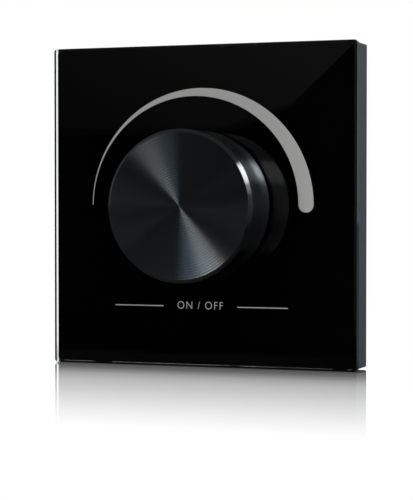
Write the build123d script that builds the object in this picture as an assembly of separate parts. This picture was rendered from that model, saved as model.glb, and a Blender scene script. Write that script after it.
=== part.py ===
from build123d import *
import os

# Wireless wall dimmer: a glass panel with a turned knob that rotates and pushes.
# The wall is the XZ plane, the front faces -Y, and heights are measured out from the wall.

# Glass panel
panel_size = 86.0
glass_thickness = 3.2
glass_chamfer = 0.62
glass_back_chamfer = 0.45
glass_corner_cut = 0.6
back_print_thickness = 0.1
front_print_thickness = 0.05

# Printed arc and rule lines, on the front of the glass
scale_radius = 31.4
scale_shift = 0.15
scale_start_width = 0.22
scale_start_rise = 0.35
scale_end_width = 4.12
scale_end_rise = 0.38
scale_inner_rise = 0.09
rule_drop = 26.8
rule_thickness = 0.25
rule_inner = 10.5
rule_outer = 24.55

# Tape between glass and housing
tape_thickness = 0.2
tape_width = 12.0
tape_margin = 1.0

# Housing
panel_overhang = 0.4
side_wall = 1.6
front_wall = 1.0
housing_corner_radius = 0.4
housing_back_chamfer = 0.3
boss_wall = 1.3
catch_depth = 0.6
catch_height = 1.0
notch_width = 8.0
notch_depth = 1.5

# Wall plate
plate_thickness = 1.2
plate_clearance = 0.2
wall_screw_spacing = 60.0
wall_slot_width = 4.2
wall_slot_length = 8.0
wall_screw_room = 5.0
tab_width = 9.0
tab_thickness = 1.0
tab_spread = 52.0
tab_barb = 0.5
tab_barb_height = 1.0
snap_clearance = 0.1

# Circuit board and its screws
board_thickness = 1.0
board_corner_radius = 2.0
board_edge_clearance = 0.4
screw_inset = 3.5
screw_diameter = 2.0
screw_length = 4.2
screw_head_diameter = 3.6
screw_head_height = 1.0
screw_recess_length = 2.2
screw_recess_width = 0.6
screw_recess_depth = 0.5
screw_clearance = 0.05
head_clearance = 0.1
lead_tail = 0.6
lead_clearance = 0.2

# Parts on the board
radio_chip_size = 5.0
radio_chip_height = 0.9
radio_chip_place = (14.0, 17.0)
crystal_size = (3.2, 2.5, 0.8)
crystal_corner_radius = 0.5
crystal_place = (14.0, 24.0)
bulk_capacitor_size = (3.5, 2.8, 1.9)
bulk_capacitor_place = (-13.0, 16.0)
chip_capacitor_size = (0.8, 1.6, 0.8)
chip_capacitor_count = 6
chip_capacitor_pitch = 2.0
chip_capacitor_place = (9.0, 11.5)
antenna_wire_diameter = 0.8
antenna_length = 28.0
antenna_rise = 2.2
antenna_bend = 1.5
antenna_inset = 5.5

# Coin cell, its cradle and contacts
cell_diameter = 20.0
cell_thickness = 3.2
cell_lid_diameter = 17.6
cell_lid_height = 0.3
cell_edge_radius = 0.4
cell_clearance = 0.3
cradle_wall = 1.2
cradle_clearance = 0.5
cradle_below_cell_back = 0.5
contact_thickness = 0.3
contact_width = 4.0
contact_leg_width = 1.6
contact_gap = 0.05
contact_leg_room = 4.0
contact_foot = 2.5
contact_reach = 2.2
slot_clearance = 0.3
keeper_diameter = 10.0
keeper_clearance = 0.3

# Rotary encoder with push switch
encoder_size = 12.0
encoder_base = 0.7
dome_well_depth = 0.9
dome_diameter = 5.2
dome_height = 0.6
dome_thickness = 0.15
dome_clearance = 0.2
rotor_diameter = 9.4
rotor_thickness = 1.0
rotor_clearance = 0.1
wiper_thickness = 0.2
wiper_width = 1.2
wiper_inset = 0.3
detent_thickness = 0.2
detent_width = 1.0
flange_thickness = 0.7
clamp_thickness = 0.3
clamp_leg_width = 3.0
clamp_clearance = 0.05
terminal_width = 0.8
terminal_thickness = 0.4
terminal_root = 0.8
terminal_pitch = 2.5
terminal_inset = 1.0

# Shaft and bush
shaft_diameter = 6.0
shaft_flat = 1.5
shaft_tip_chamfer = 0.3
shaft_clearance = 0.05
shaft_grip = 7.6
drive_diameter = 5.0
drive_flats = 4.0
drive_clearance = 0.06
collar_overlap = 0.4
collar_thickness = 0.25
collar_play = 0.05
push_travel = 0.4
bush_wall = 0.45
bush_length = 6.5
bush_clearance = 0.1
washer_rim = 2.2
washer_thickness = 0.5
nut_across_flats = 10.0
nut_thickness = 2.0
nut_clearance = 0.05
nut_room = 0.5

# Knob
knob_diameter = 40.0
knob_height = 14.5
knob_gap = 1.6
knob_chamfer = 0.9
knob_back_chamfer = 0.3
knob_wall = 2.0
knob_face = 2.5
core_clearance = 0.05
core_flange = 3.0
core_rib_count = 6
core_rib_thickness = 1.2
core_rib_height = 6.0
hub_wall = 3.0
hub_clearance = 0.4
bore_clearance = 0.04
bore_end_clearance = 0.3
ring_thickness = 0.6
ring_width = 1.0
ring_setback = 0.8
ring_gap = 2.0
ring_clearance = 0.05

# Heights above the wall, built up from the thicknesses
board_back = plate_thickness + screw_head_height + head_clearance
board_front = board_back + board_thickness
dome_seat = board_front + encoder_base
rotor_floor = dome_seat + dome_well_depth
wiper_back = rotor_floor + rotor_clearance
rotor_back = wiper_back + wiper_thickness
rotor_front = rotor_back + rotor_thickness
detent_back = rotor_front + rotor_clearance
flange_back = detent_back + detent_thickness
flange_front = flange_back + flange_thickness
inner_face = flange_front + clamp_thickness
housing_front = inner_face + front_wall
tape_front = housing_front + tape_thickness
glass_back = tape_front + back_print_thickness
glass_front = glass_back + glass_thickness
knob_back = glass_front + knob_gap
knob_front = knob_back + knob_height
bush_front = flange_front + bush_length
hub_back = bush_front + push_travel + hub_clearance
shaft_front = hub_back + shaft_grip
shaft_back = dome_seat + dome_height + collar_play
collar_front = flange_back - collar_play
collar_back = collar_front - collar_thickness
core_front = knob_front - knob_face
core_back = core_front - core_flange
lead_end = board_back - lead_tail

# Half sizes across the panel
housing_half = panel_size / 2 - panel_overhang
inner_half = housing_half - side_wall
tab_face = inner_half - catch_depth - snap_clearance
board_half_width = wall_screw_spacing / 2 - wall_screw_room
board_half_height = tab_face - tab_thickness - board_edge_clearance
screw_x = board_half_width - screw_inset
screw_z = board_half_height - screw_inset
antenna_z = board_half_height - antenna_inset

# Radii about the knob's axis
shaft_radius = shaft_diameter / 2
collar_radius = shaft_radius + collar_overlap
bush_radius = shaft_radius + shaft_clearance + bush_wall
rotor_radius = rotor_diameter / 2
cap_inner_radius = knob_diameter / 2 - knob_wall
hub_radius = shaft_radius + hub_wall
washer_radius = bush_radius + bush_clearance + washer_rim
nut_corner_radius = nut_across_flats / 3**0.5
glass_hole_radius = max(washer_radius, nut_corner_radius) + nut_room

# Coin cell's place, below the encoder
cell_radius = cell_diameter / 2
cradle_inner = cell_radius + cell_clearance
cradle_outer = cradle_inner + cradle_wall
cell_window = cradle_outer + cradle_clearance
cell_z = -(encoder_size / 2 + contact_leg_room + cell_window)
cell_front = inner_face - contact_thickness - contact_gap
cell_back = cell_front - cell_thickness
contact_leg_z = -(encoder_size / 2 + contact_leg_room / 2)
contact_face_x = -(cell_radius + contact_gap)

# Snap catches, front of the wall plate
catch_back = plate_thickness + catch_height
catch_front = catch_back + catch_height
barb_back = catch_front + snap_clearance
tab_front = barb_back + tab_barb_height

wall = Plane(origin=(0, 0, 0), x_dir=(1, 0, 0), z_dir=(0, -1, 0))


def slab(outline, low, high):
    """A sketch drawn in X and Z, extruded between two heights above the wall."""
    return extrude(wall.offset(low) * outline, high - low)


def disc(radius, low, high, x=0.0, z=0.0):
    """A cylinder that stands out from the wall."""
    return slab(Pos(x, z) * Circle(radius), low, high)


def block(width, height, low, high, x=0.0, z=0.0):
    """A box that stands out from the wall."""
    return slab(Pos(x, z) * Rectangle(width, height), low, high)


def front_rim(piece):
    """Outer edges of a piece's front face."""
    return piece.faces().sort_by(Axis.Y)[0].outer_wire().edges()


def back_rim(piece):
    """Outer edges of a piece's back face."""
    return piece.faces().sort_by(Axis.Y)[-1].outer_wire().edges()


def d_outline(radius, flat):
    """A circle cut by one flat, which faces +X."""
    return Circle(radius) & Pos((flat - radius) / 2, 0) * Rectangle(radius + flat, 2 * radius)


def two_flats(diameter, across):
    """A circle cut by two flats."""
    return Circle(diameter / 2) & Rectangle(across, diameter)


def screw_places():
    """Centres of the four board screws."""
    return [(sx * screw_x, sz * screw_z) for sx in (-1, 1) for sz in (-1, 1)]


def tab_places():
    """Centre and outward direction of each snap tab, on the top and bottom edges."""
    return [(sx * tab_spread / 2, sz) for sx in (-1, 1) for sz in (-1, 1)]


def terminal_places():
    """Three terminals below the encoder's axis, two above it."""
    z = encoder_size / 2 - terminal_inset
    below = [(step * terminal_pitch, -z) for step in (-1, 0, 1)]
    above = [(step * terminal_pitch, z) for step in (-1, 1)]
    return below + above


def cut_square(side):
    """A square with its corners cut."""
    return chamfer(Rectangle(side, side).vertices(), glass_corner_cut)


def glass_panel():
    panel = slab(cut_square(panel_size), glass_back, glass_front)
    panel = chamfer(front_rim(panel), glass_chamfer)
    panel = chamfer(back_rim(panel), glass_back_chamfer)
    return panel - disc(glass_hole_radius, glass_back, glass_front)


def back_print():
    sheet = cut_square(panel_size - 2 * glass_back_chamfer)
    return slab(sheet - Circle(glass_hole_radius), tape_front, glass_back)


def scale_print():
    mean_width = (scale_start_width + scale_end_width) / 2
    inner_shift = (scale_end_width - scale_start_width) / 2
    ring = Circle(scale_radius) - Pos(-inner_shift, scale_inner_rise) * Circle(scale_radius - mean_width)
    half = Rectangle(2 * scale_radius, 2 * scale_radius)
    left_side = Pos(-scale_radius, scale_radius + scale_start_rise) * half
    right_side = Pos(scale_radius, scale_radius + scale_end_rise) * half
    end_cap = Pos(scale_radius - scale_end_width / 2, scale_end_rise) * Circle(scale_end_width / 2)
    outline = Pos(scale_shift, 0) * ((ring & left_side) + (ring & right_side) + end_cap)
    arc = slab(outline, glass_front, glass_front + front_print_thickness)
    rules = [
        block(
            rule_outer - rule_inner,
            rule_thickness,
            glass_front,
            glass_front + front_print_thickness,
            side * (rule_inner + rule_outer) / 2,
            -rule_drop,
        )
        for side in (-1, 1)
    ]
    return [arc, *rules]


def tape_frame():
    outer = 2 * (housing_half - tape_margin)
    inner = outer - 2 * tape_width
    return slab(Rectangle(outer, outer) - Rectangle(inner, inner), housing_front, tape_front)


def housing():
    outline = RectangleRounded(2 * housing_half, 2 * housing_half, housing_corner_radius)
    tray = slab(outline, 0, housing_front)
    tray = chamfer(back_rim(tray), housing_back_chamfer)
    tray -= block(2 * inner_half, 2 * inner_half, 0, inner_face)
    tray -= disc(bush_radius + bush_clearance, inner_face, housing_front)
    tray -= block(notch_width, side_wall, 0, notch_depth, 0, -inner_half - side_wall / 2)
    for x, z in screw_places():
        tray += disc(screw_diameter / 2 + boss_wall, board_front, inner_face, x, z)
        tray -= disc(screw_diameter / 2 + screw_clearance, board_front, screw_tip(), x, z)
    for x, side in tab_places():
        z = side * (inner_half - catch_depth / 2)
        tray += block(tab_width, catch_depth, catch_back, catch_front, x, z)
    return tray + cradle()


def screw_tip():
    """Height of the bottom of a screw's hole."""
    return board_back + screw_length + screw_clearance


def cradle():
    """Ring wall that holds the coin cell, open where the two contacts pass."""
    low = cell_back + cradle_below_cell_back
    ring = disc(cradle_outer, low, inner_face, 0, cell_z)
    ring -= disc(cradle_inner, low, inner_face, 0, cell_z)
    gap = contact_width + 2 * slot_clearance
    ring -= block(gap, cradle_outer, low, inner_face, 0, cell_z + cradle_outer / 2)
    ring -= block(cradle_outer, gap, low, inner_face, -cradle_outer / 2, cell_z)
    return ring


def wall_plate():
    side = 2 * (inner_half - plate_clearance)
    plate = block(side, side, 0, plate_thickness)
    for sx in (-1, 1):
        slot = Pos(sx * wall_screw_spacing / 2, 0) * SlotOverall(wall_slot_length, wall_slot_width)
        plate -= slab(slot, 0, plate_thickness)
    for x, sz in tab_places():
        plate += snap_tab(x, sz)
    return plate + disc(keeper_diameter / 2, plate_thickness, cell_back - keeper_clearance, 0, cell_z)


def snap_tab(x, side):
    """A tab on the plate's front whose barb hooks over the housing's catch."""
    stem_z = side * (tab_face - tab_thickness / 2)
    barb_z = side * (tab_face + tab_barb / 2)
    stem = block(tab_width, tab_thickness, plate_thickness, tab_front, x, stem_z)
    return stem + block(tab_width, tab_barb, barb_back, tab_front, x, barb_z)


def circuit_board():
    outline = RectangleRounded(2 * board_half_width, 2 * board_half_height, board_corner_radius)
    outline -= Pos(0, cell_z) * Circle(cell_window)
    for x, z in screw_places():
        outline -= Pos(x, z) * Circle(screw_diameter / 2 + screw_clearance)
    for x, z in terminal_places():
        outline -= Pos(x, z) * Circle((terminal_width + lead_clearance) / 2)
    for sx in (-1, 1):
        outline -= Pos(sx * clamp_leg_x(), 0) * lead_slot(clamp_thickness, clamp_leg_width)
        hole = Circle((antenna_wire_diameter + lead_clearance) / 2)
        outline -= Pos(sx * antenna_length / 2, antenna_z) * hole
    outline -= Pos(0, contact_leg_z) * lead_slot(contact_leg_width, contact_thickness)
    return slab(outline, board_back, board_front)


def lead_slot(width, height):
    """Hole in the board for a flat lead."""
    return Rectangle(width + lead_clearance, height + lead_clearance)


def board_screws():
    screws = []
    for x, z in screw_places():
        shank = disc(screw_diameter / 2, board_back, board_back + screw_length, x, z)
        head = disc(screw_head_diameter / 2, board_back - screw_head_height, board_back, x, z)
        screws.append(shank + head - cross_recess(x, z))
    return screws


def cross_recess(x, z):
    """Two crossed slots in a screw head."""
    low = board_back - screw_head_height
    high = low + screw_recess_depth
    across = block(screw_recess_length, screw_recess_width, low, high, x, z)
    return across + block(screw_recess_width, screw_recess_length, low, high, x, z)


def radio_chip():
    x, z = radio_chip_place
    return block(radio_chip_size, radio_chip_size, board_front, board_front + radio_chip_height, x, z)


def crystal():
    width, height, rise = crystal_size
    outline = RectangleRounded(width, height, crystal_corner_radius)
    return slab(Pos(*crystal_place) * outline, board_front, board_front + rise)


def bulk_capacitor():
    width, height, rise = bulk_capacitor_size
    return block(width, height, board_front, board_front + rise, *bulk_capacitor_place)


def chip_capacitors():
    width, height, rise = chip_capacitor_size
    x, z = chip_capacitor_place
    return [
        block(width, height, board_front, board_front + rise, x + i * chip_capacitor_pitch, z)
        for i in range(chip_capacitor_count)
    ]


def antenna_wire():
    """A wire bridge along the board's top edge, with both ends through the board."""
    level = Plane(origin=(0, 0, antenna_z), x_dir=(1, 0, 0), z_dir=(0, 0, 1))
    top = board_front + antenna_rise
    left, right = -antenna_length / 2, antenna_length / 2
    points = [(left, -lead_end), (left, -top), (right, -top), (right, -lead_end)]
    path = level * FilletPolyline(*points, radius=antenna_bend)
    section = Plane(origin=path @ 0, z_dir=path % 0) * Circle(antenna_wire_diameter / 2)
    return sweep(section, path)


def coin_cell():
    can = disc(cell_radius, cell_back, cell_front - cell_lid_height, 0, cell_z)
    can = fillet(front_rim(can) + back_rim(can), cell_edge_radius)
    lid = disc(cell_lid_diameter / 2, cell_front - cell_lid_height, cell_front, 0, cell_z)
    return can + lid


def cell_contact_minus():
    """A strip under the cell with a leg through the board."""
    low = inner_face - contact_thickness
    top_z = contact_leg_z + contact_thickness / 2
    length = top_z - cell_z
    strip = block(contact_width, length, low, inner_face, 0, cell_z + length / 2)
    leg = block(contact_leg_width, contact_thickness, lead_end, inner_face, 0, contact_leg_z)
    return strip + leg


def cell_contact_plus():
    """A leaf against the cell's rim, bent from a foot on the board."""
    foot_end = -(cell_window + contact_foot)
    foot_length = contact_face_x - foot_end
    foot_x = (contact_face_x + foot_end) / 2
    foot_front = board_front + contact_thickness
    foot = block(foot_length, contact_width, board_front, foot_front, foot_x, cell_z)
    leaf_x = contact_face_x - contact_thickness / 2
    leaf_front = cell_back + contact_reach
    return foot + block(contact_thickness, contact_width, board_front, leaf_front, leaf_x, cell_z)


def encoder_body():
    cup = block(encoder_size, encoder_size, board_front, flange_back)
    cup -= disc(rotor_radius + rotor_clearance, rotor_floor, flange_back)
    cup -= disc(dome_diameter / 2 + dome_clearance, dome_seat, rotor_floor)
    for x, z in terminal_places():
        cup -= block(terminal_width, terminal_thickness, board_front, board_front + terminal_root, x, z)
    return cup


def encoder_terminals():
    return [
        block(terminal_width, terminal_thickness, lead_end, board_front + terminal_root, x, z)
        for x, z in terminal_places()
    ]


def switch_dome():
    """A thin cap of a sphere that stands on the floor of the well."""
    rim_radius = dome_diameter / 2
    sphere_radius = (rim_radius**2 + dome_height**2) / (2 * dome_height)
    centre = wall.offset(dome_seat + dome_height - sphere_radius)
    shell = centre * Sphere(sphere_radius) - centre * Sphere(sphere_radius - dome_thickness)
    return shell & disc(dome_diameter, dome_seat, dome_seat + 2 * dome_height)


def encoder_rotor():
    bore = two_flats(drive_diameter + 2 * drive_clearance, drive_flats + 2 * drive_clearance)
    rotor = slab(Circle(rotor_radius) - bore, rotor_back, rotor_front)
    collar_room = collar_back - push_travel - rotor_clearance
    return rotor - disc(collar_radius + rotor_clearance, collar_room, rotor_front)


def rotor_wiper():
    outer = rotor_radius - wiper_inset
    return slab(Circle(outer) - Circle(outer - wiper_width), wiper_back, rotor_back)


def detent_spring():
    outer = rotor_radius
    return slab(Circle(outer) - Circle(outer - detent_width), detent_back, flange_back)


def encoder_bush():
    bush = block(encoder_size, encoder_size, flange_back, flange_front)
    bush += disc(bush_radius, flange_front, bush_front)
    return bush - disc(shaft_radius + shaft_clearance, flange_back, bush_front)


def clamp_leg_x():
    return encoder_size / 2 + clamp_clearance + clamp_thickness / 2


def encoder_clamp():
    """A strap over the flange with a leg down each side, through the board."""
    width = 2 * clamp_leg_x() + clamp_thickness
    strap = block(width, encoder_size, flange_front, inner_face)
    strap -= disc(bush_radius + bush_clearance, flange_front, inner_face)
    for sx in (-1, 1):
        strap += block(clamp_thickness, clamp_leg_width, lead_end, inner_face, sx * clamp_leg_x())
    return strap


def encoder_shaft():
    drive = slab(two_flats(drive_diameter, drive_flats), shaft_back, collar_back)
    collar = disc(collar_radius, collar_back, collar_front)
    journal = disc(shaft_radius, collar_front, hub_back)
    grip = slab(d_outline(shaft_radius, shaft_flat), hub_back, shaft_front)
    grip = chamfer(front_rim(grip), shaft_tip_chamfer)
    return drive + collar + journal + grip


def bush_washer():
    ring = Circle(washer_radius) - Circle(bush_radius + bush_clearance)
    return slab(ring, housing_front, housing_front + washer_thickness)


def bush_nut():
    low = housing_front + washer_thickness
    outline = RegularPolygon(nut_corner_radius, 6) - Circle(bush_radius + nut_clearance)
    return slab(outline, low, low + nut_thickness)


def knob_cap():
    cap = disc(knob_diameter / 2, knob_back, knob_front)
    cap = chamfer(front_rim(cap), knob_chamfer)
    cap = chamfer(back_rim(cap), knob_back_chamfer)
    return cap - disc(cap_inner_radius, knob_back, core_front)


def knob_core():
    """Disc, hub and ribs inside the cap, with a blind D bore for the shaft."""
    outer = cap_inner_radius - core_clearance
    core = disc(outer, core_back, core_front) + disc(hub_radius, hub_back, core_back)
    rib = block(outer, core_rib_thickness, core_back - core_rib_height, core_back, outer / 2)
    for i in range(core_rib_count):
        core += Rot(0, i * 360 / core_rib_count, 0) * rib
    core &= disc(outer, hub_back, core_front)
    bore = d_outline(shaft_radius + bore_clearance, shaft_flat + bore_clearance)
    core -= slab(bore, hub_back, shaft_front + bore_end_clearance)
    low = hub_back + ring_setback
    groove = Circle(hub_radius) - Circle(hub_radius - ring_thickness - ring_clearance)
    return core - slab(groove, low - ring_clearance, low + ring_width + ring_clearance)


def hub_ring():
    """A split spring ring in the hub's groove."""
    low = hub_back + ring_setback
    ring = Circle(hub_radius) - Circle(hub_radius - ring_thickness)
    ring -= Pos(hub_radius, 0) * Rectangle(2 * ring_thickness + ring_gap, ring_gap)
    return slab(ring, low, low + ring_width)


def save(name, pieces):
    """Write one node: a single piece or a group of like pieces."""
    group = pieces if isinstance(pieces, list) else [pieces]
    solids = [solid for piece in group for solid in piece.solids()]
    export_step(Compound(solids), f"parts/{name}.step")


makers = [
    glass_panel,
    back_print,
    scale_print,
    tape_frame,
    housing,
    wall_plate,
    circuit_board,
    board_screws,
    radio_chip,
    crystal,
    bulk_capacitor,
    chip_capacitors,
    antenna_wire,
    coin_cell,
    cell_contact_minus,
    cell_contact_plus,
    encoder_body,
    encoder_terminals,
    switch_dome,
    encoder_rotor,
    rotor_wiper,
    detent_spring,
    encoder_bush,
    encoder_clamp,
    encoder_shaft,
    bush_washer,
    bush_nut,
    knob_cap,
    knob_core,
    hub_ring,
]

os.makedirs("parts", exist_ok=True)
for make in makers:
    save(make.__name__, make())
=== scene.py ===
import math

import bpy
import numpy as np
from mathutils import Matrix, Vector


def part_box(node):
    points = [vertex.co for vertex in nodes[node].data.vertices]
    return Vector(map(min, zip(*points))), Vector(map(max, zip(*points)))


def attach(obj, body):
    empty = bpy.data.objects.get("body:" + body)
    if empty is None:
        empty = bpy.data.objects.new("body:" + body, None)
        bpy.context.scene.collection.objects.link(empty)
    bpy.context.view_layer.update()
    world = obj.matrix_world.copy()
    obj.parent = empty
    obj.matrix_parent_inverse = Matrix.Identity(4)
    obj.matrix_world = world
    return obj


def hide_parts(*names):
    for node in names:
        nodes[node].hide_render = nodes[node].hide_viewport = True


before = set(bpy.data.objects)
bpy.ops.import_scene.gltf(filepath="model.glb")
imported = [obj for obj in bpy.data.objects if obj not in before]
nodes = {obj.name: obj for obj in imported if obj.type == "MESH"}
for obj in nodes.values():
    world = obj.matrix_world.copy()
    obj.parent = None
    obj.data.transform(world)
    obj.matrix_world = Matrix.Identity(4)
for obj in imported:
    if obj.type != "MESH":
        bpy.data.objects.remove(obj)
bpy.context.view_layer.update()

MM = 0.001
TURN = 2 * math.pi

# The photograph's frame and the camera that stands to the right of the panel
IMAGE_HEIGHT_PX = 500
FOCAL_PX = 1737.7
SENSOR_HEIGHT_MM = 24.0
CAMERA_YAW = math.radians(20.301)
CAMERA_PITCH = math.radians(-1.583)
CAMERA_DISTANCE = 462.84 * MM
LOOK_AT_X = 1.81 * MM
LOOK_AT_Z = -11.70 * MM
CLIP_START = 0.01

# Places taken from the solids
glass_low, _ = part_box("glass_panel")
knob_low, knob_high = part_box("knob_cap")
core_low, core_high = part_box("knob_core")
print_low, print_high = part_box("back_print")
scale_low, scale_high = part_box("scale_print")
_, washer_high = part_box("bush_washer")

GLASS_FRONT = glass_low.y
FLOOR_LEVEL = glass_low.z
KNOB_RADIUS = knob_high.x
KNOB_FACE = knob_low.y

# Turned knob
KNOB_CHAMFER = 0.9 * MM
KNOB_BACK_CHAMFER = 0.3 * MM
KNOB_EDGE_ROUND = 0.05 * MM
KNOB_DISH = 0.66 * MM
FACE_RADIUS = KNOB_RADIUS - KNOB_CHAMFER
FACE_RINGS = 24
KNOB_SEGMENTS = 384
ROUND_STEPS = 6
GROOVE_PITCH = 0.70 * MM
GROOVE_DEPTH = 0.0045 * MM
FLAT_TOLERANCE = 1e-9

# Knob finish from the axis outwards: start as a share of the radius, roughness, metallic, cut colour's share
KNOB_COLOUR = (0.072, 0.084, 0.092)
KNOB_CUT_COLOUR = (0.13, 0.137, 0.140)
KNOB_BANDS = (
    (0.0, 0.465, 0.95, 0),
    (FACE_RADIUS / KNOB_RADIUS, 0.355, 0.99, 0.8),
    (0.9945, 0.47, 0.99, 0),
)

# Share of that roughness at the front, which grows to all of it between the start and the back
KNOB_FRONT_SHARE = 0.366
KNOB_FADE_START = KNOB_FACE + 6 * MM

# Black print, sunk a hair into the glass so that the two are in optical contact
PRINT_SINK = 0.02 * MM
PRINT_HOLE_RADIUS = washer_high.x + 0.5 * MM
PRINT_CORNER_CUT = 0.6 * MM
PRINT_SEGMENTS = 1024

# Legend between the two printed rules
LEGEND_TEXT = "ON / OFF"
LEGEND_CAP_HEIGHT = 2.02 * MM
LEGEND_BASELINE = -27.52 * MM
LEGEND_TRACKING = 1.2
LEGEND_THINNING = -0.012
LEGEND_NARROWING = 0.9
LEGEND_EXTRUDE = 0.5

# Levels of the surround, where 1 is white
EVEN_LEVEL = 0.50
ROOM_LEVEL = 0.15

# Dark flag in front to the left, and the dimmer top and left of the room: axis, then cosines of its edge
ROOM_FLAG = ((-0.35, -0.935, 0.0), 0.980, 0.991)
ROOM_SHADES = (((0, 0, 1), 0.5, 0.85), ((-1, 0, 0), 0.6, 0.85))
ROOM_SHADE_SHARE = 0.5

# Lights that only gloss sees: axis, cosines where the light starts and is full, level
GLOSS_LIGHTS = (
    # Behind to the left, and the white that the floor mirrors beside the object
    ((-0.35, 0.93, 0.10), 0.72, 0.90, 0.6),
    ((-0.347, 0.932, 0.107), 0.950, 0.985, 1.0),
    # Beside the camera, above to the left, above to the right, and a small patch there
    ((0.50, -0.86, 0.05), 0.86, 0.97, 0.5),
    ((-0.25, -0.88, 0.40), 0.95, 0.985, 0.22),
    ((0.15, -0.93, 0.33), 0.93, 0.975, 0.22),
    ((0.195, -0.937, 0.290), 0.987, 0.997, 1.6),
    # Glow and spark on the right of the knob's chamfer, and the light on its left
    ((0.849, -0.336, 0.407), 0.960, 0.9995, 1.2),
    ((0.778, -0.322, 0.538), 0.972, 0.992, 5.2),
    ((-0.62, -0.78, 0.0), 0.978, 0.996, 0.18),
)

# Floor
FLOOR_REACH = 3.0
FLOOR_GAP = 0.02 * MM
FLOOR_SHADE = 0.85
FLOOR_ROUGHNESS = 0.03

# Dim patches of the floor that only gloss sees: level, then edges in m as start and end of a smooth step
FLOOR_NEAR_LEVEL = 0.04
NEAR_FRONT, NEAR_BACK = (-0.060, -0.040), (-0.012, -0.020)
NEAR_RIGHT, NEAR_RIGHT_SHARE = (0.010, 0.030), 0.45
FLOOR_RIGHT_LEVEL = 0.2
RIGHT_START_SLOPE, RIGHT_START = -0.274, (0.044, 0.062)
RIGHT_END_SLOPE, RIGHT_END = 0.8, (0.02, -0.02)
RIGHT_DIP, RIGHT_HORIZON_GAIN = (0.35, 0.0), 2.4
FLOOR_FAR_LEVEL = 0.10
FAR_START, FAR_DIP = (0.06, 0.20), (0.55, 0.0)
FLOOR_BEHIND_LEVEL = 0.12
BEHIND_START = (-0.03, 0.03)
BEHIND_LEFT, BEHIND_LEFT_SHARE = (-0.12, 0.02), 0.25

# Depth of the floor in mm, and the share of light that it mirrors there, raised near the foot as a painted
# shadow of the object
FLOOR_MIRROR_AND_SHADOW = (
    (-133, 0.0),
    (-113, 0.12),
    (-93, 0.25),
    (-70, 0.40),
    (-51, 0.51),
    (-37, 0.64),
    (-30, 0.75),
    (-22, 0.86),
    (-12.5, 0.92),
    (-11, 0.98),
    (10, 0.98),
    (60, 0.0),
)

# Card in the upper part of the glass and its dim lower edge, as outlines in mm on the glass
CARD_EDGE = (
    (-60, 22.0),
    (-20.2, 20.8),
    (1.4, 20.7),
    (7.0, 21.2),
    (11.2, 22.4),
    (26.4, 27.3),
    (46.0, 45.4),
)
CARD_OUTLINE = (*CARD_EDGE, (46, 60), (-60, 60))
CARD_FRINGE = (
    (-60, 18.2),
    (-29.1, 19.2),
    (-14.4, 19.0),
    (9.8, 20.1),
    (18.2, 22.9),
    (26.4, 26.4),
    *CARD_EDGE[5::-1],
)
CARD_FRINGE_GAIN = 0.45
CARD_PLACE = -1.0
CARD_DIM_SPOT, CARD_DIM_LEVEL = (-41.0, 23.6), 0.030
CARD_BRIGHT_SPOT, CARD_BRIGHT_LEVEL = (27.8, 40.6), 0.110
CARD_RISE = (0.563, 0.0, 0.827)

# Lamps: name, direction from the knob, distance, width, height, radiance, colour
LAMPS = (
    ("key_right", (0.803, 0.110, 0.590), 0.6, 0.10, 0.20, 115.0, (1.0, 0.98, 0.94)),
    ("key_left", (-0.511, -0.817, 0.267), 1.0, 0.14, 0.16, 27.0, (1.0, 0.97, 0.96)),
    ("fill_left", (-0.421, -0.854, 0.306), 1.0, 0.105, 0.10, 12.4, (0.72, 0.89, 1.0)),
)


# Surfaces

def mesh_piece(name, vertices, *faces, smooth=True):
    """A mesh object at the origin from an array of points and arrays of faces."""
    mesh = bpy.data.meshes.new(name)
    mesh.from_pydata(vertices.tolist(), [], [face for group in faces for face in group.tolist()])
    mesh.polygons.foreach_set("use_smooth", np.full(len(mesh.polygons), smooth))
    mesh.update()
    piece = bpy.data.objects.new(name, mesh)
    bpy.context.scene.collection.objects.link(piece)
    return piece


def grid_faces(rows, columns, wrap_rows=False):
    """Quads of a grid of points whose columns close on themselves, and whose rows may."""
    row = np.arange(rows if wrap_rows else rows - 1)[:, None]
    column = np.arange(columns)[None, :]
    below = (row + 1) % rows
    beside = (column + 1) % columns
    corners = (
        row * columns + column,
        row * columns + beside,
        below * columns + beside,
        below * columns + column,
    )
    spread = [np.broadcast_to(corner, (len(row), columns)) for corner in corners]
    return np.stack(spread, axis=-1).reshape(-1, 4)


def rounded_profile(corners, radius):
    """A profile with each inner corner turned into an arc, and a point beside each arc to keep the flats flat.

    The arc of a corner touches both legs at radius times the tangent of half the turn from it.
    """
    points = [corners[0]]
    for before, corner, after in zip(corners[:-2], corners[1:-1], corners[2:]):
        into = (corner - before) / np.linalg.norm(corner - before)
        out = (after - corner) / np.linalg.norm(after - corner)
        turn = math.acos(np.clip(into @ out, -1, 1))
        reach = radius * math.tan(turn / 2)
        inward = (out - into) / np.linalg.norm(out - into)
        centre = corner + inward * radius / math.cos(turn / 2)
        start = corner - into * reach - centre
        side = corner + out * reach - centre
        steps = np.linspace(0, turn, ROUND_STEPS)[:, None]
        arc = centre + (start * np.sin(turn - steps) + side * np.sin(steps)) / math.sin(turn)
        points += [corner - into * 2 * reach, *arc, corner + out * 2 * reach]
    return np.array([*points, corners[-1]])


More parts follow.
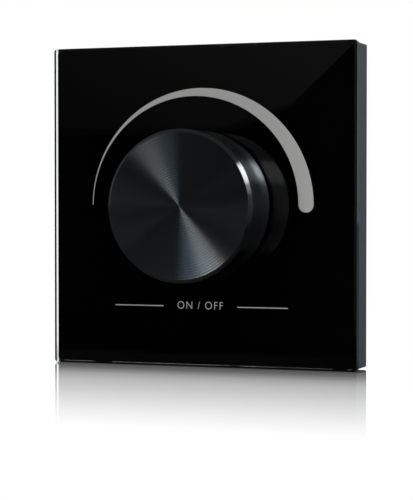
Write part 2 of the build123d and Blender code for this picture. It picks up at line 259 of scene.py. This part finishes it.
def lathe(name, profile):
    """A profile of radius and depth, both ends on the axis, turned about the Y axis.

    A point at angle a is (radius cos a, depth, radius sin a), and each end is one point with a fan.
    """
    angle = np.arange(KNOB_SEGMENTS) / KNOB_SEGMENTS * TURN
    radius, depth = profile[1:-1, 0, None], profile[1:-1, 1, None]
    level = np.broadcast_to(depth, (len(depth), len(angle)))
    rings = np.stack([radius * np.cos(angle), level, radius * np.sin(angle)], axis=-1)
    poles = np.array([[0, profile[0, 1], 0], [0, profile[-1, 1], 0]])
    count = len(depth)
    quads = grid_faces(count, KNOB_SEGMENTS)[:, ::-1]
    column = np.arange(KNOB_SEGMENTS)
    beside = (column + 1) % KNOB_SEGMENTS
    first_pole = count * KNOB_SEGMENTS
    last_row = (count - 1) * KNOB_SEGMENTS
    front_fan = np.stack([np.full_like(column, first_pole), column, beside], axis=-1)
    back_fan = np.stack([np.full_like(column, first_pole + 1), last_row + beside, last_row + column], axis=-1)
    vertices = np.concatenate([rings.reshape(-1, 3), poles])
    return mesh_piece(name, vertices, quads, front_fan, back_fan)


def turned_knob():
    """Cup of turned metal: shallow dished face, 45 degree chamfer, plain side, and a hollow for the core.

    The face lies below its rim by the dish times one less the square of the radius over the face's.
    """
    inner_radius = core_high.x
    hollow_face = core_low.y
    corners = np.array(
        [
            (FACE_RADIUS / 2, KNOB_FACE),
            (FACE_RADIUS, KNOB_FACE),
            (KNOB_RADIUS, KNOB_FACE + KNOB_CHAMFER),
            (KNOB_RADIUS, knob_high.y - KNOB_BACK_CHAMFER),
            (KNOB_RADIUS - KNOB_BACK_CHAMFER, knob_high.y),
            (inner_radius, knob_high.y),
            (inner_radius, hollow_face),
            (0, hollow_face),
        ]
    )
    rim = rounded_profile(corners, KNOB_EDGE_ROUND)[1:]
    radius = np.linspace(0, rim[0, 0], FACE_RINGS)[:-1]
    face = np.stack([radius, np.full_like(radius, KNOB_FACE)], axis=-1)
    profile = np.concatenate([face, rim])
    on_face = profile[:, 1] < KNOB_FACE + FLAT_TOLERANCE
    share = profile[on_face, 0] / FACE_RADIUS
    profile[on_face, 1] += KNOB_DISH * np.clip(1 - share ** 2, 0, 1)
    return lathe("turned_knob", profile)


def black_print():
    """Square sheet with cut corners and a round hole: at each angle a rim from the hole out to the outline.

    The square's distance at angle a is half its side over the larger of |cos a| and |sin a|, and the corner
    cut's is the side less the cut over their sum. The outline is the nearer of the two.
    """
    angle = np.arange(PRINT_SEGMENTS) / PRINT_SEGMENTS * TURN
    ray = np.stack([np.cos(angle), np.sin(angle)])
    half = print_high.x
    square = half / np.abs(ray).max(axis=0)
    cut = (2 * half - PRINT_CORNER_CUT) / np.abs(ray).sum(axis=0)
    outer = np.minimum(square, cut) * ray
    inner = PRINT_HOLE_RADIUS * ray
    front = print_low.y - PRINT_SINK
    back = print_high.y
    rims = [(inner, front), (outer, front), (outer, back), (inner, back)]
    rows = np.stack([np.stack([r[0], np.full_like(angle, y), r[1]], axis=-1) for r, y in rims])
    faces = grid_faces(len(rims), PRINT_SEGMENTS, True)
    return mesh_piece("black_print", rows.reshape(-1, 3), faces, smooth=False)


def legend():
    """Two generic words set in the gap between the rules, as thick as the printed scale."""
    words = bpy.data.curves.new("legend", "FONT")
    words.body = LEGEND_TEXT
    words.align_x = "CENTER"
    words.space_character = LEGEND_TRACKING
    words.offset = LEGEND_THINNING
    words.extrude = LEGEND_EXTRUDE
    raw = bpy.data.objects.new("legend_raw", words)
    bpy.context.scene.collection.objects.link(raw)
    bpy.context.view_layer.update()
    mesh = bpy.data.meshes.new_from_object(raw.evaluated_get(bpy.context.evaluated_depsgraph_get()))
    bpy.data.objects.remove(raw)
    bpy.data.curves.remove(words)
    points = np.empty(len(mesh.vertices) * 3, np.float32)
    mesh.vertices.foreach_get("co", points)
    points = points.reshape(-1, 3)
    across, up, rise = points.T
    scale = LEGEND_CAP_HEIGHT / (up.max() - up.min())
    thickness = scale_high.y - scale_low.y
    middle = (across.max() + across.min()) / 2
    placed = np.stack(
        [
            (across - middle) * scale * LEGEND_NARROWING,
            scale_high.y - (rise + LEGEND_EXTRUDE) * thickness,
            LEGEND_BASELINE + (up - up.min()) * scale,
        ],
        axis=-1,
    )
    mesh.vertices.foreach_set("co", placed.astype(np.float32).ravel())
    mesh.update()
    piece = bpy.data.objects.new("legend", mesh)
    bpy.context.scene.collection.objects.link(piece)
    return piece


# Finishes

class Nodes:
    """Short calls on a node tree."""

    def __init__(self, tree):
        self.tree = tree

    def new(self, kind, **settings):
        made = self.tree.nodes.new(kind)
        for key, value in settings.items():
            setattr(made, key, value)
        return made

    def link(self, source, target):
        self.tree.links.new(source, target)

    def put(self, value, socket):
        """Set a socket to a number, or link it to another socket."""
        if isinstance(value, (int, float)):
            socket.default_value = value
        else:
            self.link(value, socket)

    def math(self, operation, first, second=0.0):
        """One arithmetic step on sockets or numbers."""
        made = self.new("ShaderNodeMath", operation=operation)
        self.put(first, made.inputs[0])
        self.put(second, made.inputs[1])
        return made.outputs["Value"]

    def ramp(self, value, start, end, low, high, shape="LINEAR"):
        """Number that goes from low at start to high at end, and stays so beyond them."""
        made = self.new("ShaderNodeMapRange", interpolation_type=shape)
        ends = (("From Min", start), ("From Max", end), ("To Min", low), ("To Max", high))
        for socket, number in ends:
            made.inputs[socket].default_value = number
        self.link(value, made.inputs["Value"])
        return made.outputs["Result"]

    def ease(self, value, start, end, low, high):
        """Ramp with a smooth start and end."""
        return self.ramp(value, start, end, low, high, "SMOOTHSTEP")

    def dot(self, vector, axis):
        """How far a vector reaches along an axis."""
        made = self.new("ShaderNodeVectorMath", operation="DOT_PRODUCT")
        made.inputs[1].default_value = axis
        self.link(vector, made.inputs[0])
        return made.outputs["Value"]

    def mix(self, share, first, second):
        """Number between two numbers or sockets."""
        made = self.new("ShaderNodeMix")
        self.link(share, made.inputs["Factor"])
        self.put(first, made.inputs["A"])
        self.put(second, made.inputs["B"])
        return made.outputs["Result"]

    def blend(self, share, first, second):
        """Shader between two shaders."""
        made = self.new("ShaderNodeMixShader")
        self.link(share, made.inputs["Fac"])
        self.link(first, made.inputs[1])
        self.link(second, made.inputs[2])
        return made.outputs["Shader"]


class Finish(Nodes):
    """A material with one principled shader, and short calls for the patterns that feed it."""

    def __init__(self, name, colour, roughness, metallic=0.0):
        self.material = bpy.data.materials.new(name)
        self.material.use_nodes = True
        super().__init__(self.material.node_tree)
        self.shader = self.tree.nodes["Principled BSDF"]
        self.colour = colour
        self.set("Base Color", (*colour, 1.0))
        self.set("Roughness", roughness)
        self.set("Metallic", metallic)

    def set(self, socket, value):
        self.shader.inputs[socket].default_value = value

    def feed(self, source, socket):
        self.link(source, self.shader.inputs[socket])

    def place(self, stretch=(1, 1, 1)):
        """Object coordinates, stretched along the axes."""
        coordinates = self.new("ShaderNodeTexCoord")
        mapping = self.new("ShaderNodeMapping")
        mapping.inputs["Scale"].default_value = stretch
        self.link(coordinates.outputs["Object"], mapping.inputs["Vector"])
        return mapping.outputs["Vector"]

    def noise(self, size, detail=2.0, stretch=(1, 1, 1)):
        """Noise whose blobs are about as wide as size."""
        texture = self.new("ShaderNodeTexNoise")
        texture.inputs["Scale"].default_value = 1 / size
        texture.inputs["Detail"].default_value = detail
        self.link(self.place(stretch), texture.inputs["Vector"])
        return texture.outputs["Fac"]

    def spread(self, value, low, high):
        """Map 0.3 to 0.7, where noise mostly lies, to low and high."""
        return self.ramp(value, 0.3, 0.7, low, high)

    def tint(self, value, dark, light):
        """Colour between two multiples of the base colour."""
        made = self.new("ShaderNodeMix", data_type="RGBA")
        made.inputs["A"].default_value = (*[c * dark for c in self.colour], 1.0)
        made.inputs["B"].default_value = (*[c * light for c in self.colour], 1.0)
        self.link(value, made.inputs["Factor"])
        self.feed(made.outputs["Result"], "Base Color")
        return made.outputs["Result"]

    def rough(self, value, low, high):
        self.feed(self.spread(value, low, high), "Roughness")

    def bump(self, value, height):
        made = self.new("ShaderNodeBump")
        made.inputs["Strength"].default_value = 1.0
        made.inputs["Distance"].default_value = height
        self.link(value, made.inputs["Height"])
        self.feed(made.outputs["Normal"], "Normal")


def moulded(name, colour, roughness, grain=0.25 * MM, depth=0.006 * MM, gloss=0.5):
    """Moulded plastic: a fine spark texture and a faint change of shade."""
    finish = Finish(name, colour, roughness)
    finish.tint(finish.noise(6 * MM), 0.92, 1.08)
    fine = finish.noise(grain, detail=3)
    finish.rough(fine, roughness - 0.05, roughness + 0.05)
    finish.bump(fine, depth)
    finish.set("Specular IOR Level", gloss)
    return finish.material


def plated(name, colour, roughness, stretch=(1, 1, 1)):
    """Plated or rolled metal: fine marks along one direction."""
    finish = Finish(name, colour, roughness, metallic=1.0)
    marks = finish.noise(0.3 * MM, detail=3, stretch=stretch)
    finish.tint(finish.noise(3 * MM), 0.9, 1.06)
    finish.rough(marks, roughness - 0.06, roughness + 0.08)
    finish.bump(marks, 0.002 * MM)
    return finish.material


def printed(name, colour):
    """Screen print: matt ink with a slight mottle."""
    finish = Finish(name, colour, 0.6)
    finish.set("Specular IOR Level", 0.1)
    finish.tint(finish.noise(0.4 * MM, detail=3), 0.98, 1.02)
    return finish.material


def clear_glass():
    """Polished float glass with a faint green cast, clear to its edges."""
    finish = Finish("clear_glass", (0.96, 0.99, 0.985), 0.0)
    finish.set("Transmission Weight", 1.0)
    finish.set("IOR", 1.47)
    finish.bump(finish.noise(25 * MM, detail=1), 0.0005 * MM)
    return finish.material


def sunk_ink():
    """Black ink fired to the back of the glass: no gloss of its own."""
    finish = Finish("sunk_ink", (0.0012, 0.0012, 0.0013), 0.9)
    finish.set("Specular IOR Level", 0.0)
    finish.tint(finish.noise(1 * MM), 0.9, 1.1)
    return finish.material


def spun_metal():
    """Dark anodised metal with concentric turning marks about the Y axis.

    The marks are a wave over the distance from the axis, and the gloss is stretched across them. The face, the
    chamfer that is cut bright after it, and the side are told apart by that distance. The side grows rougher
    towards the back.
    """
    finish = Finish("spun_metal", KNOB_COLOUR, 0.195, metallic=0.99)
    finish.set("Coat Weight", 1.0)
    finish.set("Coat Roughness", 0.05)
    finish.set("Anisotropic", 1.0)
    finish.set("Anisotropic Rotation", 0.25)
    tangent = finish.new("ShaderNodeTangent", direction_type="RADIAL", axis="Y")
    finish.feed(tangent.outputs["Tangent"], "Tangent")
    flat = finish.new("ShaderNodeVectorMath", operation="LENGTH")
    finish.link(finish.place((1, 0, 1)), flat.inputs[0])
    radius = flat.outputs["Value"]
    wave = finish.math("SINE", finish.math("MULTIPLY", radius, TURN / GROOVE_PITCH))
    # Every other turning ring is painted up to a twentieth lighter in the colour: painted sheen of the marks
    colour_with_painted_groove_sheen = finish.tint(finish.spread(wave, 0.5, 0.6), 0.75, 1.25)
    finish.bump(wave, GROOVE_DEPTH)
    bands = finish.new("ShaderNodeValToRGB")
    bands.color_ramp.interpolation = "CONSTANT"
    bands.color_ramp.elements.new(0.5)
    for element, (position, rough, metal, cut) in zip(bands.color_ramp.elements, KNOB_BANDS):
        element.position = position
        element.color = (rough, metal, 0, cut)
    finish.link(finish.math("DIVIDE", radius, KNOB_RADIUS), bands.inputs["Fac"])
    parts = finish.new("ShaderNodeSeparateColor")
    finish.link(bands.outputs["Color"], parts.inputs["Color"])
    finish.feed(parts.outputs["Green"], "Metallic")
    depth = finish.new("ShaderNodeSeparateXYZ")
    finish.link(finish.place(), depth.inputs["Vector"])
    fade = finish.ramp(depth.outputs["Y"], KNOB_FADE_START, knob_high.y, KNOB_FRONT_SHARE, 1.0)
    finish.feed(finish.math("MULTIPLY", parts.outputs["Red"], fade), "Roughness")
    bright = finish.new("ShaderNodeMix", data_type="RGBA")
    bright.inputs["B"].default_value = (*KNOB_CUT_COLOUR, 1)
    finish.link(bands.outputs["Alpha"], bright.inputs["Factor"])
    finish.link(colour_with_painted_groove_sheen, bright.inputs["A"])
    finish.feed(bright.outputs["Result"], "Base Color")
    return finish.material


def solder_mask():
    """Green laminate with darker lanes where the copper runs."""
    finish = Finish("solder_mask", (0.015, 0.12, 0.05), 0.35)
    lanes = finish.new("ShaderNodeTexBrick", offset=0.5)
    lanes.inputs["Scale"].default_value = 1 / (6 * MM)
    finish.link(finish.place(), lanes.inputs["Vector"])
    finish.tint(lanes.outputs["Fac"], 0.8, 1.25)
    finish.bump(finish.noise(0.4 * MM), 0.003 * MM)
    return finish.material


def dress(material, *names):
    """Give CAD nodes a finish."""
    for name in names:
        slots = nodes[name].data.materials
        slots.clear()
        slots.append(material)


def finish_nodes():
    """Give every CAD node its finish."""
    dress(clear_glass(), "glass_panel")
    dress(printed("grey_ink", (0.35, 0.35, 0.35)), "scale_print")
    dress(moulded("slate_plastic", (0.0150, 0.0225, 0.0280), 0.55, gloss=0.2), "housing")
    plate = moulded("plate_plastic", (0.030, 0.033, 0.036), 0.55, grain=0.4 * MM, depth=0.012 * MM)
    dress(plate, "wall_plate")
    dress(moulded("foam_tape", (0.02, 0.02, 0.02), 0.8, grain=0.5 * MM), "tape_frame")
    dress(moulded("core_plastic", (0.02, 0.02, 0.021), 0.5), "knob_core")
    dress(moulded("encoder_plastic", (0.02, 0.05, 0.09), 0.45), "encoder_body", "encoder_rotor")
    dress(moulded("chip_resin", (0.015, 0.015, 0.017), 0.55), "radio_chip")
    dress(moulded("capacitor_ceramic", (0.42, 0.32, 0.2), 0.5), "chip_capacitors")
    dress(moulded("capacitor_resin", (0.5, 0.33, 0.05), 0.45), "bulk_capacitor")
    dress(solder_mask(), "circuit_board")
    zinc = plated("zinc_plate", (0.62, 0.63, 0.66), 0.32)
    dress(zinc, "board_screws", "bush_nut", "bush_washer", "encoder_bush")
    steel = plated("spring_steel", (0.66, 0.66, 0.66), 0.28, stretch=(0.1, 1, 1))
    dress(steel, "cell_contact_minus", "cell_contact_plus", "encoder_clamp")
    dress(steel, "detent_spring", "switch_dome", "hub_ring")
    dress(plated("cell_nickel", (0.7, 0.69, 0.67), 0.22), "coin_cell", "crystal")
    shaft = plated("shaft_metal", (0.72, 0.72, 0.73), 0.3, stretch=(1, 0.1, 1))
    dress(shaft, "encoder_shaft")
    brass = plated("contact_brass", (0.72, 0.55, 0.26), 0.3)
    dress(brass, "encoder_terminals", "rotor_wiper")
    dress(plated("tinned_copper", (0.72, 0.48, 0.36), 0.3), "antenna_wire")
    dress(sunk_ink(), "back_print")
    dress(spun_metal(), "knob_cap")


def dressed(piece, material, body, slot, *replaced):
    """Finish a new piece and set it on its body, in place of the nodes that it stands for."""
    piece.data.materials.clear()
    piece.data.materials.append(material)
    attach(piece, body)
    if replaced:
        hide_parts(*replaced)


# Studio

def studio_camera():
    """Camera from yaw, pitch and distance about a point on the front of the glass."""
    forward = Vector(
        (
            -math.sin(CAMERA_YAW) * math.cos(CAMERA_PITCH),
            math.cos(CAMERA_YAW) * math.cos(CAMERA_PITCH),
            math.sin(CAMERA_PITCH),
        )
    )
    right = Vector((math.cos(CAMERA_YAW), math.sin(CAMERA_YAW), 0))
    up = right.cross(forward)
    data = bpy.data.cameras.new("camera")
    data.sensor_fit = "VERTICAL"
    data.sensor_height = SENSOR_HEIGHT_MM
    data.lens = FOCAL_PX * SENSOR_HEIGHT_MM / IMAGE_HEIGHT_PX
    data.clip_start = CLIP_START
    camera = bpy.data.objects.new("camera", data)
    bpy.context.scene.collection.objects.link(camera)
    turn = Matrix((right, up, -forward)).transposed().to_4x4()
    place = Vector((LOOK_AT_X, GLASS_FRONT, LOOK_AT_Z)) - forward * CAMERA_DISTANCE
    camera.matrix_world = Matrix.Translation(place) @ turn
    bpy.context.scene.camera = camera


def softbox(name, direction, distance, width, height, radiance, colour):
    """Oval area lamp that faces the knob from a direction. Power is radiance times area times pi."""
    data = bpy.data.lights.new(name, "AREA")
    data.shape = "ELLIPSE"
    data.size = width
    data.size_y = height
    data.color = colour
    data.energy = radiance * width * height * math.pi / 4 * math.pi
    lamp = bpy.data.objects.new(name, data)
    bpy.context.scene.collection.objects.link(lamp)
    toward = Vector(direction).normalized()
    target = Vector((0, KNOB_FACE, 0))
    turn = toward.to_track_quat("Z", "Y").to_matrix().to_4x4()
    lamp.matrix_world = Matrix.Translation(target + toward * distance) @ turn
    lamp.visible_camera = False


def white_surround():
    """White for the camera and through glass, and even light for matt surfaces.

    Gloss sees the brightest of a dim room, which has a dark flag in front to the left, and the lights set in
    it. The level of each follows the cosine of the angle from its axis.
    """
    world = bpy.data.worlds.new("studio")
    bpy.context.scene.world = world
    world.use_nodes = True
    world.cycles.sampling_method = "NONE"
    graph = Nodes(world.node_tree)
    background = world.node_tree.nodes["Background"]
    background.inputs["Color"].default_value = (1, 1, 1, 1)
    direction = graph.new("ShaderNodeTexCoord").outputs["Generated"]

    def toward(axis, start, end, low, high):
        return graph.ease(graph.dot(direction, Vector(axis).normalized()), start, end, low, high)

    mirrored = toward(*ROOM_FLAG, ROOM_LEVEL, 0.0)
    for shade in ROOM_SHADES:
        mirrored = graph.math("MULTIPLY", mirrored, toward(*shade, 1.0, ROOM_SHADE_SHARE))
    for axis, start, end, level in GLOSS_LIGHTS:
        mirrored = graph.math("MAXIMUM", mirrored, toward(axis, start, end, 0.0, level))
    path = graph.new("ShaderNodeLightPath")
    direct = graph.math("MAXIMUM", path.outputs["Is Camera Ray"], path.outputs["Is Transmission Ray"])
    indirect = graph.mix(path.outputs["Is Glossy Ray"], EVEN_LEVEL, mirrored)
    graph.link(graph.mix(direct, indirect, 1.0), background.inputs["Strength"])


def stage_graph(piece, name):
    """Empty material for a stage piece, not sampled as a lamp. Gives its graph and its surface socket."""
    material = bpy.data.materials.new(name)
    material.use_nodes = True
    material.cycles.emission_sampling = "NONE"
    material.node_tree.nodes.clear()
    piece.data.materials.append(material)
    graph = Nodes(material.node_tree)
    return graph, graph.new("ShaderNodeOutputMaterial").inputs["Surface"]


def floor_mirror_and_shadow(graph, depth):
    """Share of light that the floor mirrors, raised at the foot as a painted shadow, by straight steps through
    the listed depths and shares.
    """
    front, back = FLOOR_MIRROR_AND_SHADOW[0][0], FLOOR_MIRROR_AND_SHADOW[-1][0]
    mirror_and_shadow = graph.new("ShaderNodeFloatCurve")
    curve = mirror_and_shadow.mapping.curves[0]
    curve.points[0].location = (0.0, 0.0)
    curve.points[1].location = (1.0, 0.0)
    for distance, share in FLOOR_MIRROR_AND_SHADOW[1:-1]:
        curve.points.new((distance - front) / (back - front), share)
    for point in curve.points:
        point.handle_type = "VECTOR"
    mirror_and_shadow.mapping.update()
    graph.link(graph.ramp(depth, front * MM, back * MM, 0.0, 1.0), mirror_and_shadow.inputs["Value"])
    return mirror_and_shadow.outputs["Value"]


def floor_patches(graph, across, depth):
    """Level of the floor for gloss: the brightest of dim patches near the object, to its right and behind it.

    The slant is the distance to the right of the floor that the glass mirrors to the camera. The dip is the
    drop to the floor over the slant, and falls to nothing at the horizon.
    """
    near = graph.ease(depth, *NEAR_FRONT, 0, FLOOR_NEAR_LEVEL)
    near = graph.math("MULTIPLY", near, graph.ease(depth, *NEAR_BACK, 0, 1))
    near = graph.math("MULTIPLY", near, graph.ease(across, *NEAR_RIGHT, 1, NEAR_RIGHT_SHARE))
    slant = graph.math("ADD", across, graph.math("MULTIPLY", depth, RIGHT_START_SLOPE))
    dip = graph.math("DIVIDE", -FLOOR_LEVEL, slant)
    steep = graph.math("ADD", across, graph.math("MULTIPLY", depth, RIGHT_END_SLOPE))
    right = graph.ease(slant, *RIGHT_START, 0, FLOOR_RIGHT_LEVEL)
    right = graph.math("MULTIPLY", right, graph.ease(steep, *RIGHT_END, 0, 1))
    right = graph.math("MULTIPLY", right, graph.ease(dip, *RIGHT_DIP, 1.0, RIGHT_HORIZON_GAIN))
    far = graph.ease(dip, *FAR_DIP, 0, FLOOR_FAR_LEVEL)
    far = graph.math("MULTIPLY", far, graph.ease(slant, *FAR_START, 0, 1))
    behind = graph.ease(depth, *BEHIND_START, 0, FLOOR_BEHIND_LEVEL)
    behind = graph.math("MULTIPLY", behind, graph.ease(across, *BEHIND_LEFT, BEHIND_LEFT_SHARE, 1))
    level = near
    for patch in (far, right, behind):
        level = graph.math("MAXIMUM", level, patch)
    return level


def polished_floor():
    """White floor that mirrors the object at its foot, less towards the camera; a raised mirrored share at the
    foot darkens it there as a painted shadow.
    """
    corners = FLOOR_REACH * np.array([(-1, -1), (1, -1), (1, 1), (-1, 1)])
    points = np.column_stack([corners, np.full(4, FLOOR_LEVEL - FLOOR_GAP)])
    floor = mesh_piece("floor", points, np.array([[0, 1, 2, 3]]), smooth=False)
    graph, surface = stage_graph(floor, "white_floor")
    white = graph.new("ShaderNodeEmission")
    matt = graph.new("ShaderNodeBsdfDiffuse")
    matt.inputs["Color"].default_value = (FLOOR_SHADE, FLOOR_SHADE, FLOOR_SHADE, 1)
    gloss = graph.new("ShaderNodeBsdfGlossy")
    gloss.inputs["Color"].default_value = (1, 1, 1, 1)
    gloss.inputs["Roughness"].default_value = FLOOR_ROUGHNESS
    dim = graph.new("ShaderNodeEmission")
    coordinates = graph.new("ShaderNodeTexCoord")
    place = graph.new("ShaderNodeSeparateXYZ")
    graph.link(coordinates.outputs["Object"], place.inputs["Vector"])
    across, depth = place.outputs["X"], place.outputs["Y"]
    graph.link(floor_patches(graph, across, depth), dim.inputs["Strength"])
    # Mirrored share by depth, raised at the foot as a painted shadow of the object
    mirror_and_shadow = floor_mirror_and_shadow(graph, depth)
    path = graph.new("ShaderNodeLightPath")
    seen = graph.blend(mirror_and_shadow, white.outputs["Emission"], gloss.outputs["BSDF"])
    unseen = graph.blend(path.outputs["Is Glossy Ray"], matt.outputs["BSDF"], dim.outputs["Emission"])
    direct = graph.math("MAXIMUM", path.outputs["Is Camera Ray"], path.outputs["Is Transmission Ray"])
    graph.link(graph.blend(direct, unseen, seen), surface)


def ceiling_card(name, outline, gain):
    """Dim card that shows in the upper part of the glass, brighter to the upper right.

    A corner on the glass is carried along the line from the mirrored camera through it, out to the card.
    """
    camera = bpy.context.scene.camera.matrix_world.translation
    mirrored = np.array([camera.x, 2 * GLASS_FRONT - camera.y, camera.z])
    stretch = (CARD_PLACE - mirrored[1]) / (GLASS_FRONT - mirrored[1])

    def carried(spots):
        on_glass = np.array([(x * MM, GLASS_FRONT, z * MM) for x, z in spots])
        return mirrored + (on_glass - mirrored) * stretch

    points = carried(outline)
    dim, bright = carried((CARD_DIM_SPOT, CARD_BRIGHT_SPOT)) @ np.array(CARD_RISE)
    card = mesh_piece(name, points, np.arange(len(points))[None, :], smooth=False)
    graph, surface = stage_graph(card, name)
    along = graph.dot(graph.new("ShaderNodeTexCoord").outputs["Object"], CARD_RISE)
    glow = graph.new("ShaderNodeEmission")
    level = graph.ramp(along, dim, bright, gain * CARD_DIM_LEVEL, gain * CARD_BRIGHT_LEVEL)
    graph.link(level, glow.inputs["Strength"])
    graph.link(glow.outputs["Emission"], surface)
    card.visible_camera = False
    card.visible_diffuse = False
    card.visible_transmission = False
    card.visible_shadow = False


finish_nodes()
dressed(turned_knob(), nodes["knob_cap"].data.materials[0], "knob", "knob_metal", "knob_cap")
dressed(black_print(), nodes["back_print"].data.materials[0], "base", "black_print", "back_print")
dressed(legend(), nodes["scale_print"].data.materials[0], "base", "grey_print")

studio_camera()
white_surround()
polished_floor()
ceiling_card("ceiling_card", CARD_OUTLINE, 1.0)
ceiling_card("ceiling_card_edge", CARD_FRINGE, CARD_FRINGE_GAIN)
for lamp in LAMPS:
    softbox(*lamp)

bpy.context.scene.view_settings.view_transform = "Standard"
